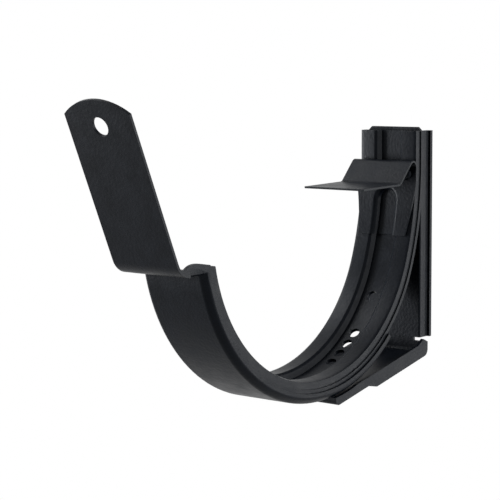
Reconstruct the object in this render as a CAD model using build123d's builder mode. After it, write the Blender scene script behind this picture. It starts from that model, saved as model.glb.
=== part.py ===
from build123d import *
from math import acos, asin, atan, cos, degrees, hypot, radians, sin
import os

os.makedirs("parts", exist_ok=True)

# Half-round gutter bracket: a ribbed cradle on an outer strap, a spring clip, a wall rail and a brace.
# Millimetres. X runs across the strap, +Y points into the wall, +Z is up.
# The origin is the middle of the rail's back face, on the wall.

# Driving dimensions: sheets
strip_t = 1.5
strap_t = 1.5
clip_t = 0.8
rail_t = 1.5
brace_t = 1.5

# Wall rail, a shallow hat-shaped channel
rail_height = 87.4
rail_depth = 7.0
rail_flange = 1.2
rail_bend_r = 0.8
rail_tab_rise = 1.5
rail_tab_bevel = 1.6
screw_hole_r = 2.75
screw_hole_z = -20.0

# Cradle profile, measured to the face of its ribs, which carries the gutter
cradle_r = 62.7
cradle_centre_z = 11.5
upper_r = 114.6
upper_start = -20.0
rib_depth = 3.2
rib_width = 7.7
rib_margin = 0.7
rib_shoulder_width = 1.4
rib_shoulder_drop = 0.4
rib_inner_slope = 0.9
rib_outer_slope = 0.1
rib_bevel = 0.8
strip_inset = 0.9
nose_z = -0.4
nose_round_r = 1.5
nose_notch_z = -2.8
drain_hole_r = 2.3
drain_pitch = 5.5
drain_upper = -34.0
drain_lower_start = -50.5
drain_lower_count = 4

# Outer strap with its upright tab
strap_half = 15.5
ledge_run = 12.3
ledge_drop = 2.9
rim_low_z = 0.0
rim_top_z = 1.55
rim_step_z = 1.1
rim_end_z = 0.5
rim_start_run = 2.5
rim_crest_run = 3.6
rim_step_run = 0.5
strap_flange = 4.1
strap_bevel = 1.0
strap_rear_angle = -48.0
slot_half = 6.5
slot_front_angle = -71.0
tab_lean = 23.3
tab_bend_r = 8.0
tab_side_z = 54.7
tab_arc_rise = 5.4
tab_t = 1.2
tab_hole_r = 3.5
tab_hole_from_top = 10.1

# Rear clip
clip_inset = 0.6
clip_taper = 3.3
clip_end_z = 0.1
clip_taper_z = 21.0
clip_bend_r = 2.8
clip_knee_r = 2.0
clip_flange_length = 25.6
clip_flange_tilt = 1.4
clip_slope = 47.2
clip_top_z = 31.5
clip_slope_length = 11.2
trough_inset = 1.0
trough_top_z = 19.7
trough_depth = 2.9
trough_rim_r = 1.2

# Brace, a channel with its web at the bottom
brace_front_angle = -83.2
brace_rear_drop = 1.9
brace_front_depth = 3.7
brace_rear_depth = 6.1
brace_jog_from_front = 22.3
brace_jog_run = 5.8
brace_bend_r = 2.0
brace_rear_r = 3.0
brace_heel_gap = 2.4
brace_heel_run = 4.0
tongue_inset = 2.9
tongue_height = 12.0

# Rivets, two through the clip and one through the rail
rivet_r = 1.6
rivet_head_r = 2.6
rivet_head_t = 1.0
rivet_head_taper = 35.0
rivet_tail_r = 2.0
rivet_z = 25.8
rivet_from_rib_edge = 3.9

# Clearances: between sheets that lie on each other along a curve, under rivet heads, round rivets
seat_gap = 0.1
head_gap = 0.2
rivet_clearance = 0.05

# Reach of a cut past the surface that it opens
overcut = 1.0

# Places and widths worked out from the sizes above
strip_half = strap_half - strip_inset
rib_outer_x = strip_half - rib_margin
rib_shoulder_x = rib_outer_x - rib_shoulder_width
rib_inner_x = rib_outer_x - rib_width
rail_half = strip_half
rail_web_half = rail_half - rail_flange
clip_half = strap_half - clip_inset
clip_tip_half = clip_half - clip_taper
trough_half = rib_inner_x - trough_inset
brace_half = strap_half
tongue_half = rail_web_half - rail_t - tongue_inset
rivet_x = rib_outer_x - rivet_from_rib_edge
leg_back_y = -rail_depth
leg_face_y = leg_back_y - strip_t - rib_depth
upper_centre_y = leg_face_y - upper_r
centre_y = upper_centre_y + (upper_r - cradle_r) * cos(radians(upper_start))
upper_centre_z = cradle_centre_z - (upper_r - cradle_r) * sin(radians(upper_start))
leg_top_z = rail_height / 2
floor_r = cradle_r + rib_depth
foot_r = floor_r + strip_t
skin_r = foot_r + strap_flange
ledge_z = nose_z - ledge_drop
drain_lower = [drain_lower_start - drain_pitch * i for i in range(drain_lower_count)]


def on_circle(radius, angle):
    """Point (y, z) on a circle round the cradle's centre."""
    return centre_y + radius * cos(radians(angle)), cradle_centre_z + radius * sin(radians(angle))


def nose_angle(radius, z):
    """Angle at which a circle round the cradle's centre crosses height z on its front side."""
    return 180 + degrees(asin((cradle_centre_z - z) / radius))


def radial_plane(y, z, angle):
    """Sketch plane with x across the strap and y pointing outward at the angle."""
    turn = radians(angle)
    return Plane(origin=(0, y, z), x_dir=(1, 0, 0), z_dir=(0, -sin(turn), cos(turn)))


def ribbed_section(plane, rib_r):
    """Cross-section of the ribbed strip, with its rib face at the given radius."""
    floor = rib_r + rib_depth
    with BuildSketch(plane) as section:
        with BuildLine():
            Polyline(
                (-strip_half, floor),
                (-rib_outer_x - rib_outer_slope, floor),
                (-rib_outer_x, rib_r + rib_shoulder_drop),
                (-rib_shoulder_x, rib_r),
                (-rib_inner_x, rib_r),
                (-rib_inner_x + rib_inner_slope, floor),
                (rib_inner_x - rib_inner_slope, floor),
                (rib_inner_x, rib_r),
                (rib_shoulder_x, rib_r),
                (rib_outer_x, rib_r + rib_shoulder_drop),
                (rib_outer_x + rib_outer_slope, floor),
                (strip_half, floor),
            )
            offset(amount=strip_t, side=Side.LEFT, kind=Kind.INTERSECTION)
        make_face()
        rib_corners = section.vertices().filter_by(lambda v: abs(plane.to_local_coords(v).Y - rib_r) < 0.01)
        chamfer(rib_corners.filter_by(lambda v: abs(v.X) < rib_inner_x + 0.01), rib_bevel)
    return section.sketch


def band(plane, inner_r, outer_r, start, stop):
    """Part of a ring between two radii and two angles round the cradle's centre, on a plane along YZ."""
    with BuildSketch(plane) as ring:
        with BuildLine():
            centre = (centre_y, cradle_centre_z)
            inner = CenterArc(centre, inner_r, start, stop - start)
            outer = CenterArc(centre, outer_r, start, stop - start)
            Line(inner @ 0, outer @ 0)
            Line(inner @ 1, outer @ 1)
        make_face()
    return ring.sketch


def rivet_places(y):
    """Locations of the clip's two rivets on a plane at y, pointing away from the wall."""
    return [Location((side * rivet_x, y, rivet_z), (90, 0, 0)) for side in (-1, 1)]


cradle_axis = Axis((0, centre_y, cradle_centre_z), (1, 0, 0))
upper_axis = Axis((0, upper_centre_y, upper_centre_z), (1, 0, 0))

# Cradle profile: main arc, upper arc and upright leg of one ribbed section, with capped ribs at the nose
nose_y = on_circle(floor_r, nose_angle(floor_r, nose_z))[0]
nose_corner_z = nose_z - nose_round_r
nose_rib_y = on_circle(cradle_r, nose_angle(cradle_r, nose_corner_z))[0]
above_nose = 4.0
rib_start = nose_angle(foot_r, nose_z + above_nose)
cap_end = nose_angle(foot_r, nose_z - strip_t)
with BuildPart() as cradle_profile:
    revolve(
        ribbed_section(radial_plane(centre_y, cradle_centre_z, rib_start), cradle_r),
        axis=cradle_axis,
        revolution_arc=360 + upper_start - rib_start,
    )
    revolve(
        ribbed_section(radial_plane(upper_centre_y, upper_centre_z, upper_start), upper_r),
        axis=upper_axis,
        revolution_arc=-upper_start,
    )
    extrude(
        ribbed_section(radial_plane(upper_centre_y, upper_centre_z, 0), upper_r),
        amount=leg_top_z - upper_centre_z,
    )
    # The ribs are closed at the nose, which is trimmed level and rounded towards the rib face
    for side in (-1, 1):
        cap_plane = Plane.YZ.offset(side * (rib_inner_x + rib_outer_x) / 2)
        cap = band(cap_plane, cradle_r + strip_t / 2, foot_r, rib_start, cap_end)
        extrude(cap, amount=(rib_outer_x - rib_inner_x - strip_t) / 2, both=True)
    with BuildSketch(Plane.YZ):
        with BuildLine():
            Polyline(
                (nose_rib_y, nose_corner_z),
                (nose_rib_y + overcut, nose_corner_z),
                (nose_rib_y + overcut, nose_z + 2 * above_nose),
                (nose_y - 2 * strip_t, nose_z + 2 * above_nose),
                (nose_y - 2 * strip_t, nose_z),
                (nose_rib_y - nose_round_r, nose_z),
            )
            RadiusArc((nose_rib_y - nose_round_r, nose_z), (nose_rib_y, nose_corner_z), nose_round_r)
        make_face()
    extrude(amount=strip_half + overcut, both=True, mode=Mode.SUBTRACT)
    # Between the ribs the nose is notched lower
    with BuildSketch(Plane.XY.offset(nose_notch_z)):
        with Locations((0, nose_y)):
            Rectangle(2 * (rib_inner_x - rib_inner_slope), 4 * strip_t)
    extrude(amount=2 * above_nose, mode=Mode.SUBTRACT)
    # Rivet holes through the ribs and the floor
    with Locations(*rivet_places(leg_face_y - strip_t)):
        Hole(rivet_r, depth=3 * strip_t)
    with Locations(Location((0, leg_back_y - 2 * strip_t, rivet_z), (90, 0, 0))):
        Hole(rivet_r, depth=3 * strip_t)
    # Drain holes through the floor of the groove
    for angle in [drain_upper] + drain_lower:
        y, z = on_circle(floor_r - rib_depth, angle)
        with BuildSketch(Plane(origin=(0, y, z), x_dir=(1, 0, 0), z_dir=(0, cos(radians(angle)), sin(radians(angle))))):
            Circle(drain_hole_r)
        extrude(amount=rib_depth + 2 * strip_t, mode=Mode.SUBTRACT)
cradle_profile.part.label = "cradle_profile"

# Outer strap: upright tab, bend, channel ledge with humped rims, and channel skin round the arc
skin_end = 360 + strap_rear_angle
bend_y = nose_y - ledge_run
bend_turn = 90 - tab_lean
lean = radians(tab_lean)
bend_centre = (bend_y, ledge_z + tab_bend_r)
tab_foot_y = bend_centre[0] - tab_bend_r * cos(lean)
tab_foot_z = bend_centre[1] - tab_bend_r * sin(lean)
tab_side_length = (tab_side_z - tab_foot_z) / cos(lean)
tab_plane = Plane(origin=(0, tab_foot_y, tab_foot_z), x_dir=(1, 0, 0), z_dir=(0, -cos(lean), -sin(lean)))


def channel_profile(base_z, outer_r, inner_r, bend_r, rims, stop):
    """Side profile of the channel from the bend, along the ledge and round the arc, below the rim points."""
    centre = (centre_y, cradle_centre_z)
    outer_start = nose_angle(outer_r, base_z)
    inner_start = nose_angle(inner_r, rims[-1][1])
    climb = degrees(acos((bend_centre[1] - rims[0][1]) / bend_r))
    with BuildSketch(Plane.YZ) as profile:
        with BuildLine():
            outer = CenterArc(centre, outer_r, outer_start, stop - outer_start)
            inner = CenterArc(centre, inner_r, inner_start, stop - inner_start)
            bend = CenterArc(bend_centre, bend_r, 270, -climb)
            Line(outer @ 0, bend @ 0)
            Line(bend @ 1, rims[0])
            Spline(*rims[:-1], inner @ 0)
            Line(outer @ 1, inner @ 1)
        make_face()
    return profile.sketch


rim_points = [
    (bend_y - rim_start_run, rim_low_z),
    (bend_y - rim_step_run, rim_step_z),
    (bend_y + rim_crest_run, rim_top_z),
    (on_circle(foot_r, nose_angle(foot_r, rim_end_z))[0], rim_end_z),
]
open_points = [(y, z + 2 * strap_flange) for y, z in rim_points]

with BuildPart() as front_strap:
    # Channel: a solid bar with bevelled lower corners, then its pocket
    extrude(channel_profile(ledge_z, skin_r, foot_r, tab_bend_r, rim_points, skin_end), amount=strap_half, both=True)
    lower_faces = front_strap.faces().filter_by(
        lambda f: f.geom_type == GeomType.CYLINDER and abs(f.radius - skin_r) < 0.01
    )
    ledge_faces = front_strap.faces().filter_by(Axis.Z).group_by(Axis.Z)[0]
    side_edges = [e for f in lower_faces + ledge_faces for e in f.edges() if abs(e.center().X) > strap_half - 0.01]
    chamfer(side_edges, strap_bevel)
    pocket_bend_r = tab_bend_r - strap_t
    extrude(
        channel_profile(
            ledge_z + strap_t, skin_r - strap_t, foot_r - overcut, pocket_bend_r, open_points, skin_end + overcut
        ),
        amount=strap_half - strap_t,
        both=True,
        mode=Mode.SUBTRACT,
    )
    # Bend from the ledge up to the tab
    with BuildSketch(Plane.YZ):
        with BuildLine():
            outer_bend = CenterArc(bend_centre, tab_bend_r, 270, -bend_turn)
            inner_bend = CenterArc(bend_centre, tab_bend_r - tab_t, 270, -bend_turn)
            Line(outer_bend @ 0, inner_bend @ 0)
            Line(outer_bend @ 1, inner_bend @ 1)
        make_face()
    extrude(amount=strap_half, both=True)
    # Leaning tab with a shallow arched end and its hole
    with BuildSketch(tab_plane):
        with BuildLine():
            Polyline(
                (-strap_half, tab_side_length),
                (-strap_half, 0),
                (strap_half, 0),
                (strap_half, tab_side_length),
            )
            ThreePointArc(
                (-strap_half, tab_side_length),
                (0, tab_side_length + tab_arc_rise),
                (strap_half, tab_side_length),
            )
        make_face()
        with Locations((0, tab_side_length + tab_arc_rise - tab_hole_from_top)):
            Circle(tab_hole_r, mode=Mode.SUBTRACT)
    extrude(amount=-tab_t)
    # The web is slotted behind the lower drain holes, so that they drain freely
    slot = band(Plane.YZ, foot_r, skin_r + overcut, 360 + slot_front_angle, skin_end + overcut)
    extrude(slot, amount=slot_half, both=True, mode=Mode.SUBTRACT)
front_strap.part.label = "front_strap"

# Rear clip: flat finger, slope, top bend and a leg down the rib faces with a pressed trough
clip_back_y = leg_face_y - seat_gap
clip_r = upper_r - seat_gap
clip_centre = (upper_centre_y, upper_centre_z)
slope = radians(clip_slope)
tilt = radians(clip_flange_tilt)
bend_mid_y = clip_back_y - clip_bend_r
bend_mid_z = clip_top_z - clip_bend_r
slope_top_y = bend_mid_y - clip_bend_r * sin(slope)
slope_top_z = bend_mid_z + clip_bend_r * cos(slope)
knee_y = slope_top_y - clip_slope_length * cos(slope)
knee_z = slope_top_z - clip_slope_length * sin(slope)
clip_sweep = degrees(asin((upper_centre_z - clip_end_z + overcut) / clip_r))
clip_leg_start = degrees(asin((upper_centre_z - bend_mid_z + clip_t) / clip_r))


def arched_block(half, inner_r, outer_r, low_z, high_z):
    """Block with an arched top in front view, curved with the upper arc."""
    with BuildPart() as block:
        with BuildSketch(Plane.XZ):
            with BuildLine():
                Polyline((-half, high_z - half), (-half, low_z), (half, low_z), (half, high_z - half))
                ThreePointArc((-half, high_z - half), (0, high_z), (half, high_z - half))
            make_face()
        extrude(amount=rail_depth * 6, both=True)
        with BuildSketch(Plane.YZ):
            with BuildLine():
                inner = CenterArc(clip_centre, inner_r, -2 * clip_sweep, 2 * clip_sweep)
                outer = CenterArc(clip_centre, outer_r, -2 * clip_sweep, 2 * clip_sweep)
                Line(inner @ 0, outer @ 0)
                Line(inner @ 1, outer @ 1)
            make_face()
        extrude(amount=half, both=True, mode=Mode.INTERSECT)
    return block.part


def trough_mouth(edges, radius):
    """Edges where the trough's walls meet the leg's face at the given radius."""
    return edges.filter_by(
        lambda e: abs(hypot(e.center().Y - upper_centre_y, e.center().Z - upper_centre_z) - radius) < 0.01
        and abs(e.center().X) < trough_half + 0.01
        and e.bounding_box().size.Z > clip_t
    )


trough_outer = arched_block(
    trough_half, clip_r - clip_t, upper_r + trough_depth, clip_end_z - overcut, trough_top_z
)
trough_inner = arched_block(
    trough_half - clip_t,
    clip_r - 2 * clip_t,
    upper_r + trough_depth - clip_t,
    clip_end_z - 2 * overcut,
    trough_top_z - clip_t,
)
with BuildPart() as rear_clip:
    with BuildSketch(Plane.YZ):
        with BuildLine():
            finger = FilletPolyline(
                (knee_y - clip_flange_length * cos(tilt), knee_z - clip_flange_length * sin(tilt)),
                (knee_y, knee_z),
                (slope_top_y, slope_top_z),
                radius=clip_knee_r,
            )
            top_bend = CenterArc((bend_mid_y, bend_mid_z), clip_bend_r, 90 + clip_slope, -90 - clip_slope)
            leg = CenterArc(clip_centre, clip_r, -clip_leg_start, clip_leg_start - clip_sweep)
            Line(top_bend @ 1, leg @ 0)
            offset(amount=clip_t, side=Side.RIGHT)
        make_face()
    extrude(amount=clip_half, both=True)
    # The leg tapers towards its lower end, where it and the trough end level
    with BuildSketch(Plane.XZ):
        for side in (-1, 1):
            with BuildLine():
                Polyline(
                    (side * clip_half, clip_taper_z),
                    (side * clip_tip_half, clip_end_z),
                    (side * clip_tip_half, clip_end_z - 2 * overcut),
                    (side * (clip_half + overcut), clip_end_z - 2 * overcut),
                    (side * (clip_half + overcut), clip_taper_z),
                    close=True,
                )
            make_face()
    extrude(amount=rail_depth * 3, mode=Mode.SUBTRACT)
    add(trough_outer)
    add(trough_inner, mode=Mode.SUBTRACT)
    with BuildSketch(Plane.XY.offset(clip_end_z)):
        with Locations((0, clip_back_y)):
            Rectangle(3 * clip_half, rail_depth * 3)
    extrude(amount=-2 * overcut, mode=Mode.SUBTRACT)
    fillet(trough_mouth(rear_clip.edges(), clip_r - clip_t), trough_rim_r + clip_t)
    chamfer(trough_mouth(rear_clip.edges(), clip_r), trough_rim_r / 2)
    with Locations(*rivet_places(clip_back_y - clip_t - head_gap)):
        Hole(rivet_r, depth=clip_t + strip_t)
rear_clip.part.label = "rear_clip"

# Wall rail: hat-shaped channel with a bevelled rise at its top
with BuildPart() as wall_rail:
    with BuildSketch(Plane.XY.offset(-rail_height / 2)) as hat:
        with BuildLine():
            Polyline(
                (-rail_half, -rail_t),
                (-rail_web_half, -rail_t),
                (-rail_web_half, -rail_depth),
                (rail_web_half, -rail_depth),
                (rail_web_half, -rail_t),
                (rail_half, -rail_t),
            )
            offset(amount=rail_t, side=Side.LEFT, kind=Kind.INTERSECTION)
        make_face()
        fillet(hat.vertices().group_by(Axis.Y)[0], rail_bend_r)
    extrude(amount=rail_height)
    with BuildSketch(Plane.XZ.offset(rail_depth - rail_t)):
        with Locations((0, leg_top_z)):
            Trapezoid(
                2 * (rail_web_half - rail_bend_r / 3),
                rail_tab_rise,
                degrees(atan(rail_tab_rise / rail_tab_bevel)),
                align=(Align.CENTER, Align.MIN),
            )
    extrude(amount=rail_t)
    with Locations(Location((0, leg_back_y, screw_hole_z), (90, 0, 0))):
        Hole(screw_hole_r, depth=2 * rail_t)
    with Locations(Location((0, leg_back_y, rivet_z), (90, 0, 0))):
        Hole(rivet_r, depth=2 * rail_t)
wall_rail.part.label = "wall_rail"

# Brace: channel with a closed front lip, a step in its web and a tongue up inside the rail
inner_web_y = -rail_depth + rail_t
tongue_back_y = inner_web_y + seat_gap + brace_t
heel_z = -rail_height / 2 - 4 * seat_gap
brace_front_y, brace_front_z = on_circle(skin_r, brace_front_angle)


def brace_top(y):
    """Height of the brace's upper line, from the strap's skin to just under the rail."""
    rear_z = -rail_height / 2 - brace_rear_drop
    return rear_z + (y - leg_back_y) * (rear_z - brace_front_z) / (leg_back_y - brace_front_y)


shoulder_z = heel_z - brace_heel_run
jog_start_y = brace_front_y + brace_jog_from_front
jog_end_y = jog_start_y + brace_jog_run
heel_y = leg_back_y - brace_heel_gap
brace_web = [
    (brace_front_y, brace_front_z),
    (brace_front_y, brace_front_z - brace_front_depth),
    (jog_start_y, brace_top(jog_start_y) - brace_front_depth),
    (jog_end_y, brace_top(jog_end_y) - brace_rear_depth),
    (tongue_back_y, brace_top(tongue_back_y) - brace_rear_depth),
    (tongue_back_y, shoulder_z),
]
web_radii = [brace_bend_r, brace_bend_r, brace_bend_r, brace_rear_r]
with BuildPart() as brace:
    # Side walls fill the outline between the web and the upper line
    with BuildSketch(Plane.YZ):
        with BuildLine():
            FilletPolyline(*brace_web, radius=web_radii)
            Polyline(
                brace_web[-1],
                (heel_y, heel_z),
                (heel_y - brace_t, brace_top(heel_y - brace_t)),
                brace_web[0],
            )
        make_face()
    extrude(amount=brace_half, both=True)
    with BuildSketch(Plane.YZ):
        Rectangle(rail_height * 5, rail_height * 3)
    extrude(amount=brace_half - brace_t, both=True, mode=Mode.SUBTRACT)
    # Web sheet with its turned-up ends
    with BuildSketch(Plane.YZ):
        with BuildLine():
            FilletPolyline(*brace_web, radius=web_radii)
            offset(amount=brace_t, side=Side.LEFT)
        make_face()
    extrude(amount=brace_half, both=True)
    # The tongue runs up behind the rail's web
    with BuildSketch(Plane.XY.offset(shoulder_z)):
        with Locations((0, tongue_back_y - brace_t / 2)):
            Rectangle(2 * tongue_half, brace_t)
    extrude(amount=heel_z + tongue_height - shoulder_z)
    # The front end is dished to the strap's skin
    with BuildSketch(Plane.YZ):
        with Locations((centre_y, cradle_centre_z)):
            Circle(skin_r + seat_gap)
    extrude(amount=brace_half + brace_t, both=True, mode=Mode.SUBTRACT)
brace.part.label = "brace"

# Rivets: domed heads in front, tails behind, one group of separate solids
rib_back_y = leg_face_y + strip_t
floor_face_y = leg_back_y - strip_t
clip_head_y = clip_back_y - clip_t - head_gap
rail_head_y = floor_face_y - head_gap
rivet_list = [
    (-rivet_x, clip_head_y, rib_back_y - clip_head_y),
    (rivet_x, clip_head_y, rib_back_y - clip_head_y),
    (0, rail_head_y, inner_web_y - rail_head_y),
]
with BuildPart() as rivets:
    for x, head_y, grip in rivet_list:
        seat = Plane(origin=(x, head_y, rivet_z), x_dir=(1, 0, 0), z_dir=(0, -1, 0))
        with BuildSketch(seat):
            Circle(rivet_head_r)
        extrude(amount=rivet_head_t, taper=rivet_head_taper)
        with BuildSketch(seat):
            Circle(rivet_r - rivet_clearance)
        extrude(amount=-grip - rivet_clearance)
        with BuildSketch(seat.offset(-grip - rivet_clearance)):
            Circle(rivet_tail_r)
        extrude(amount=-rivet_head_t)
rivets.part.label = "rivets"

for piece in (cradle_profile, front_strap, rear_clip, wall_rail, brace, rivets):
    export_step(piece.part, f"parts/{piece.part.label}.step")
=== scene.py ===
import math

import bpy
from mathutils import Matrix, Vector


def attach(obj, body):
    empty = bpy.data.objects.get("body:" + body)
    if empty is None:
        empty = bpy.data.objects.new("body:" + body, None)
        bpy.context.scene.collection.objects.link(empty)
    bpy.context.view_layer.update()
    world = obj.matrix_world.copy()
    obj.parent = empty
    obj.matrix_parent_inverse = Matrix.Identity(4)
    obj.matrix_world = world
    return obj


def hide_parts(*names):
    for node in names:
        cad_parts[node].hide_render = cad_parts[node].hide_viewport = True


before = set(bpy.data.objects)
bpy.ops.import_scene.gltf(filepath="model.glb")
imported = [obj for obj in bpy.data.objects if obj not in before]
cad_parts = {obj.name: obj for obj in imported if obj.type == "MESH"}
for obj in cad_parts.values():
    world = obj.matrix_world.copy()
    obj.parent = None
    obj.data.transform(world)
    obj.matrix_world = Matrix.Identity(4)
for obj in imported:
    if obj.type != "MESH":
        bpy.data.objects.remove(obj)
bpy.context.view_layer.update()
bpy.ops.object.select_all(action="DESELECT")

MM = 0.001

# Camera: the photograph's viewpoint, in the part's own frame
CAMERA_PLACE = (0.3973, -0.5845, 0.0701)
CAMERA_YAW = math.radians(39.54)
CAMERA_PITCH = math.radians(6.30)
CAMERA_ROLL = math.radians(-0.28)
CAMERA_LENS = 118.75
SENSOR = 36.0
CLIP_START = 0.01

# Sheet edges: broken by shearing and rounded by the coating
EDGE_ROUND = {
    "cradle_profile": 0.35 * MM,
    "front_strap": 0.30 * MM,
    "rear_clip": 0.18 * MM,
    "wall_rail": 0.30 * MM,
    "brace": 0.30 * MM,
    "rivets": 0.15 * MM,
}
EDGE_SEGMENTS = 2
SHARP_ANGLE = math.radians(32)
SMOOTH_ANGLE = math.radians(40)
FLAT_ANGLE = math.radians(0.4)
WELD_REACH = 0.002 * MM

# Strap: its lower corners are drawn over a round nose, wider than the plain bevel of the solid
ARC_CENTRE = Vector((0, -77.53, 11.5)) * MM
STRAP_HALF = 15.5 * MM
SKIN_R = 71.5 * MM
LEDGE_Z = -3.3 * MM
PLAIN_BEVEL = 1.0 * MM
CORNER_WIDENING = 1.0 * MM
CORNER_ROUND = 0.8 * MM
CORNER_SEGMENTS = 3
NEAR = 0.08 * MM

# Brace: its heel closes up under the rail's foot
HEEL_PLACE = Vector((0, -9.4, -44.1)) * MM
HEEL_SHIFT = Vector((0, 2.4, 0)) * MM
BACK_TOP_Z = -48.1 * MM
BACK_RAISE = Vector((0, 0, 2.6)) * MM
TONGUE_HALF = 9.0 * MM

# Coating: near-black powder coat, faintly blue, with a fine orange-peel grain
COAT_DARK = (0.0020, 0.0031, 0.0054, 1.0)
COAT_LIGHT = (0.0044, 0.0061, 0.0098, 1.0)
COAT_SHEEN = (0.90, 0.94, 1.0, 1.0)
COAT_GLOSS_LOW = 0.33
COAT_GLOSS_HIGH = 0.45
COAT_SPECULAR = 0.1
MOTTLE_SCALE = 160.0
MOTTLE_DETAIL = 5.0
MOTTLE_ROUGHNESS = 0.65
MOTTLE_LOW = 0.3
MOTTLE_HIGH = 0.7
GRAIN_SCALE = 900.0
GRAIN_DETAIL = 2.0
GRAIN_STRENGTH = 0.3
GRAIN_DEPTH = 0.25 * MM

# Studio
FLOOR_Z = -3.00
FLOOR_SIZE = 12
FLOOR_COLOUR = (0.85, 0.85, 0.85, 1)
FLOOR_ROUGHNESS = 0.9
FLOOR_GLOW = 0.9
ROOM_COLOUR = (1, 1, 1, 1)
ROOM_LIGHT = 0.05
LIGHT_TARGET = Vector((0, -0.09, 0))
LIGHT_DISTANCE = 1.2


def make_camera():
    bpy.ops.object.camera_add()
    camera = bpy.context.object
    camera.name = "photo_camera"
    camera.data.lens = CAMERA_LENS
    camera.data.sensor_width = SENSOR
    camera.data.clip_start = CLIP_START
    turn = (
        Matrix.Rotation(CAMERA_YAW, 4, "Z")
        @ Matrix.Rotation(math.pi / 2 - CAMERA_PITCH, 4, "X")
        @ Matrix.Rotation(CAMERA_ROLL, 4, "Z")
    )
    camera.matrix_world = Matrix.Translation(CAMERA_PLACE) @ turn
    bpy.context.scene.camera = camera


def powder_grain():
    """Node group: the coating's cloudy mottle as a mask, and its orange peel as a normal."""
    group = bpy.data.node_groups.new("powder_grain", "ShaderNodeTree")
    group.interface.new_socket("Mottle", in_out="OUTPUT", socket_type="NodeSocketFloat")
    group.interface.new_socket("Normal", in_out="OUTPUT", socket_type="NodeSocketVector")
    nodes = group.nodes
    links = group.links
    out = nodes.new("NodeGroupOutput")
    where = nodes.new("ShaderNodeTexCoord")
    cloud = nodes.new("ShaderNodeTexNoise")
    cloud.inputs["Scale"].default_value = MOTTLE_SCALE
    cloud.inputs["Detail"].default_value = MOTTLE_DETAIL
    cloud.inputs["Roughness"].default_value = MOTTLE_ROUGHNESS
    peel = nodes.new("ShaderNodeTexNoise")
    peel.inputs["Scale"].default_value = GRAIN_SCALE
    peel.inputs["Detail"].default_value = GRAIN_DETAIL
    bump = nodes.new("ShaderNodeBump")
    bump.inputs["Strength"].default_value = GRAIN_STRENGTH
    bump.inputs["Distance"].default_value = GRAIN_DEPTH
    stretch = nodes.new("ShaderNodeMapRange")
    stretch.inputs["From Min"].default_value = MOTTLE_LOW
    stretch.inputs["From Max"].default_value = MOTTLE_HIGH
    links.new(where.outputs["Object"], cloud.inputs["Vector"])
    links.new(where.outputs["Object"], peel.inputs["Vector"])
    links.new(peel.outputs["Fac"], bump.inputs["Height"])
    links.new(cloud.outputs["Fac"], stretch.inputs["Value"])
    links.new(stretch.outputs["Result"], out.inputs["Mottle"])
    links.new(bump.outputs["Normal"], out.inputs["Normal"])
    return group


def powder_coat(name, grain_group):
    """Semi-gloss black coating whose tone and gloss drift with the mottle."""
    material = bpy.data.materials.new(name)
    material.use_nodes = True
    nodes = material.node_tree.nodes
    links = material.node_tree.links
    shader = nodes["Principled BSDF"]
    shader.inputs["Specular IOR Level"].default_value = COAT_SPECULAR
    shader.inputs["Specular Tint"].default_value = COAT_SHEEN
    grain = nodes.new("ShaderNodeGroup")
    grain.node_tree = grain_group
    tone = nodes.new("ShaderNodeMix")
    tone.data_type = "RGBA"
    tone.inputs["A"].default_value = COAT_DARK
    tone.inputs["B"].default_value = COAT_LIGHT
    gloss = nodes.new("ShaderNodeMapRange")
    gloss.inputs["To Min"].default_value = COAT_GLOSS_LOW
    gloss.inputs["To Max"].default_value = COAT_GLOSS_HIGH
    links.new(grain.outputs["Mottle"], tone.inputs["Factor"])
    links.new(grain.outputs["Mottle"], gloss.inputs["Value"])
    links.new(tone.outputs["Result"], shader.inputs["Base Color"])
    links.new(gloss.outputs["Result"], shader.inputs["Roughness"])
    links.new(grain.outputs["Normal"], shader.inputs["Normal"])
    return material


def only(thing):
    """Select this one object and make it the active one."""
    bpy.ops.object.select_all(action="DESELECT")
    thing.select_set(True)
    bpy.context.view_layer.objects.active = thing


def select_points(sheet, wanted):
    """Select the points that pass the test, from edit mode and back to it."""
    bpy.ops.mesh.select_mode(type="VERT")
    bpy.ops.mesh.select_all(action="DESELECT")
    bpy.ops.object.mode_set(mode="OBJECT")
    for vertex in sheet.data.vertices:
        vertex.select = wanted(vertex.co)
    bpy.ops.object.mode_set(mode="EDIT")


def select_edges(sheet, tests):
    """Select the edges whose two ends both pass one of the tests."""
    bpy.ops.mesh.select_mode(type="EDGE")
    bpy.ops.mesh.select_all(action="DESELECT")
    bpy.ops.object.mode_set(mode="OBJECT")
    points = sheet.data.vertices
    for edge in sheet.data.edges:
        ends = [points[i].co for i in edge.vertices]
        edge.select = any(test(ends[0]) and test(ends[1]) for test in tests)
    bpy.ops.object.mode_set(mode="EDIT")


def close(value, wanted):
    return abs(value - wanted) < NEAR


def arc_radius(point):
    return math.hypot(point.y - ARC_CENTRE.y, point.z - ARC_CENTRE.z)


def on_arc_side(radius):
    """Test for the points on the strap's two sides, at this radius and below the ledge."""
    def passes(point):
        below_ledge = point.z < LEDGE_Z + PLAIN_BEVEL + NEAR
        return close(abs(point.x), STRAP_HALF) and close(arc_radius(point), radius) and below_ledge
    return passes


def under_strap(half_width):
    """Test for the points on the strap's underside, this far from its middle."""
    def passes(point):
        on_underside = close(arc_radius(point), SKIN_R) or close(point.z, LEDGE_Z)
        return close(abs(point.x), half_width) and on_underside
    return passes


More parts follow.
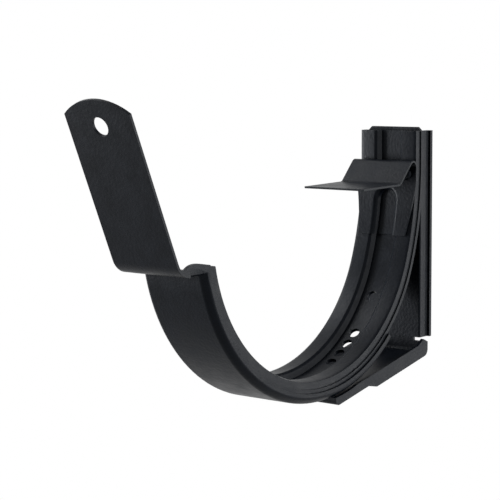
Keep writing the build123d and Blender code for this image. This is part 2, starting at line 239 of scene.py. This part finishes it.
def round_strap_corners(sheet):
    """Widen the bevel along the strap's lower corners and round it off."""
    side_r = SKIN_R - PLAIN_BEVEL
    widened_r = side_r - CORNER_WIDENING
    shrink = widened_r / side_r
    select_points(sheet, on_arc_side(side_r))
    bpy.ops.transform.resize(value=(1, shrink, shrink), center_override=ARC_CENTRE)
    under_x = STRAP_HALF - PLAIN_BEVEL
    widened_x = under_x - CORNER_WIDENING
    select_points(sheet, under_strap(under_x))
    bpy.ops.transform.resize(value=(widened_x / under_x, 1, 1), center_override=(0, 0, 0))
    select_edges(sheet, [on_arc_side(widened_r), under_strap(widened_x)])
    bpy.ops.mesh.bevel(
        offset=CORNER_ROUND, segments=CORNER_SEGMENTS, affect="EDGES", clamp_overlap=False
    )


def close_brace_heel(sheet):
    """Bring the side walls' heels back, and the back wall up, to the rail's foot."""
    select_points(sheet, lambda p: close(p.z, BACK_TOP_Z) and abs(p.x) > TONGUE_HALF - NEAR)
    bpy.ops.transform.translate(value=BACK_RAISE)
    select_points(sheet, lambda p: close(p.z, HEEL_PLACE.z) and close(p.y, HEEL_PLACE.y))
    bpy.ops.transform.translate(value=HEEL_SHIFT)


def rounded_sheet(node_name, edge_round, coat):
    """The node's sheet with its flat faces whole again and its sheared edges rounded."""
    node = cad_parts[node_name]
    only(node)
    bpy.ops.object.duplicate()
    sheet = bpy.context.object
    sheet.name = "coated_" + node_name
    sheet.data = sheet.data.copy()
    sheet.modifiers.clear()
    only(sheet)
    bpy.ops.object.mode_set(mode="EDIT")
    bpy.ops.mesh.select_mode(type="FACE")
    bpy.ops.mesh.select_all(action="SELECT")
    bpy.ops.mesh.remove_doubles(threshold=WELD_REACH)
    bpy.ops.mesh.dissolve_limited(angle_limit=FLAT_ANGLE)
    if node_name == "front_strap":
        round_strap_corners(sheet)
    if node_name == "brace":
        close_brace_heel(sheet)
    bpy.ops.object.mode_set(mode="OBJECT")
    if sheet.data.has_custom_normals:
        bpy.ops.mesh.customdata_custom_splitnormals_clear()
    rounding = sheet.modifiers.new("edge_round", "BEVEL")
    rounding.width = edge_round
    rounding.segments = EDGE_SEGMENTS
    rounding.limit_method = "ANGLE"
    rounding.angle_limit = SHARP_ANGLE
    rounding.use_clamp_overlap = True
    bpy.ops.object.modifier_apply(modifier=rounding.name)
    bpy.ops.object.shade_smooth_by_angle(angle=SMOOTH_ANGLE)
    evening = sheet.modifiers.new("flat_faces_lead", "WEIGHTED_NORMAL")
    evening.keep_sharp = True
    bpy.ops.object.modifier_apply(modifier=evening.name)
    sheet.data.materials.clear()
    sheet.data.materials.append(coat)
    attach(sheet, "root")
    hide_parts(node_name)


def softbox(name, azimuth, elevation, width, height, power, shadow=True):
    """An area lamp aimed at the part. Azimuth is measured from -Y towards -X."""
    a, e = math.radians(azimuth), math.radians(elevation)
    aim = Vector((-math.sin(a) * math.cos(e), -math.cos(a) * math.cos(e), math.sin(e)))
    bpy.ops.object.light_add(type="AREA", location=LIGHT_TARGET + aim * LIGHT_DISTANCE)
    lamp = bpy.context.object
    lamp.name = name
    lamp.data.shape = "RECTANGLE"
    lamp.data.size = width
    lamp.data.size_y = height
    lamp.data.energy = power
    lamp.visible_camera = False
    lamp.data.use_shadow = shadow
    lamp.rotation_mode = "QUATERNION"
    lamp.rotation_quaternion = aim.to_track_quat("Z", "Y")


def background_shows(nodes, links):
    """One for the rays that look straight at the studio, mirror it or pass through glass to it."""
    path = nodes.new("ShaderNodeLightPath")
    seen = path.outputs["Is Camera Ray"]
    for kind in ("Is Glossy Ray", "Is Transmission Ray"):
        either = nodes.new("ShaderNodeMath")
        either.operation = "MAXIMUM"
        links.new(seen, either.inputs[0])
        links.new(path.outputs[kind], either.inputs[1])
        seen = either.outputs["Value"]
    return seen


def make_floor():
    """Pale floor: white for the background, with a share of its own shading for the shadow."""
    bpy.ops.mesh.primitive_plane_add(size=FLOOR_SIZE, location=(0, 0, FLOOR_Z))
    floor = bpy.context.object
    floor.name = "studio_floor"
    material = bpy.data.materials.new("pale_floor")
    material.use_nodes = True
    nodes = material.node_tree.nodes
    links = material.node_tree.links
    shader = nodes["Principled BSDF"]
    shader.inputs["Base Color"].default_value = FLOOR_COLOUR
    shader.inputs["Roughness"].default_value = FLOOR_ROUGHNESS
    glow = nodes.new("ShaderNodeEmission")
    mix = nodes.new("ShaderNodeMixShader")
    share = nodes.new("ShaderNodeMapRange")
    share.inputs["To Max"].default_value = FLOOR_GLOW
    links.new(background_shows(nodes, links), share.inputs["Value"])
    links.new(share.outputs["Result"], mix.inputs["Fac"])
    links.new(shader.outputs["BSDF"], mix.inputs[1])
    links.new(glow.outputs["Emission"], mix.inputs[2])
    links.new(mix.outputs["Shader"], nodes["Material Output"].inputs["Surface"])
    floor.data.materials.append(material)


def make_room():
    """White where it is seen or mirrored, and a dim even light elsewhere."""
    world = bpy.data.worlds.new("studio")
    world.use_nodes = True
    bpy.context.scene.world = world
    nodes = world.node_tree.nodes
    links = world.node_tree.links
    background = nodes["Background"]
    strength = nodes.new("ShaderNodeMapRange")
    strength.inputs["To Min"].default_value = ROOM_LIGHT
    strength.inputs["To Max"].default_value = 1.0
    links.new(background_shows(nodes, links), strength.inputs["Value"])
    links.new(strength.outputs["Result"], background.inputs["Strength"])
    background.inputs["Color"].default_value = ROOM_COLOUR


coat = powder_coat("black_powder_coat", powder_grain())
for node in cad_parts.values():
    node.data.materials.clear()
    node.data.materials.append(coat)
for node_name, edge_round in EDGE_ROUND.items():
    rounded_sheet(node_name, edge_round, coat)

make_camera()
make_floor()
make_room()
softbox("key_strip", azimuth=59, elevation=-2, width=0.24, height=0.5, power=15.0)
softbox("upper_strip", azimuth=80, elevation=38, width=0.5, height=0.7, power=6.5)
softbox("back_softbox", azimuth=-128, elevation=3, width=0.9, height=0.8, power=12.0, shadow=False)

bpy.context.scene.view_settings.view_transform = "Standard"
